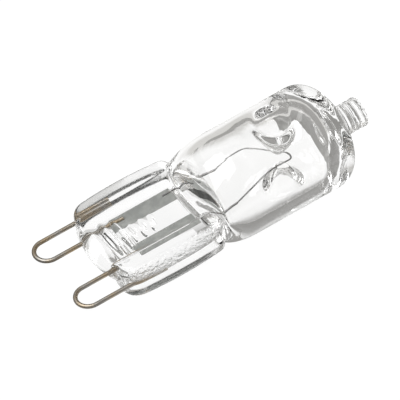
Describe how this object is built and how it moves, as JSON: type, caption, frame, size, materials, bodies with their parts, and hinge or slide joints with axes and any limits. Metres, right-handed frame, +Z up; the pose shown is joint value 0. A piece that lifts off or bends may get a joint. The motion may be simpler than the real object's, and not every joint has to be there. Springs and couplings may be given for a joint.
{
  "type": "light bulb",
  "caption": "Clear quartz halogen capsule lamp with a dimpled tubular bulb, a flat pinch seal and wire contact loops at its base, lying at rest.",
  "frame": {"origin": "on the floor under the middle of the lamp's bounding box, as it lies at rest on the back of its pinch seal and on its bulb", "axes": "+X from the contact loops towards the tip of the bulb, +Y across the pinch towards its left rail, +Z up"},
  "size_m": [0.0412, 0.0142, 0.016],
  "materials": {
    "quartz_glass": "clear fused quartz, polished by the flame",
    "contact_wire": "drawn nickel-plated wire, slightly dull",
    "foil_metal": "matte molybdenum foil",
    "lead_wire": "bare molybdenum wire",
    "filament_coil": "bare tungsten coil"
  },
  "bodies": {
    "root": {"quartz_envelope": "quartz_glass", "contact_loop_left": "contact_wire", "contact_loop_right": "contact_wire", "sealing_foil_left": "foil_metal", "sealing_foil_right": "foil_metal", "inner_lead_left": "lead_wire", "inner_lead_right": "lead_wire", "filament": "filament_coil"}
  },
  "joints": []
}
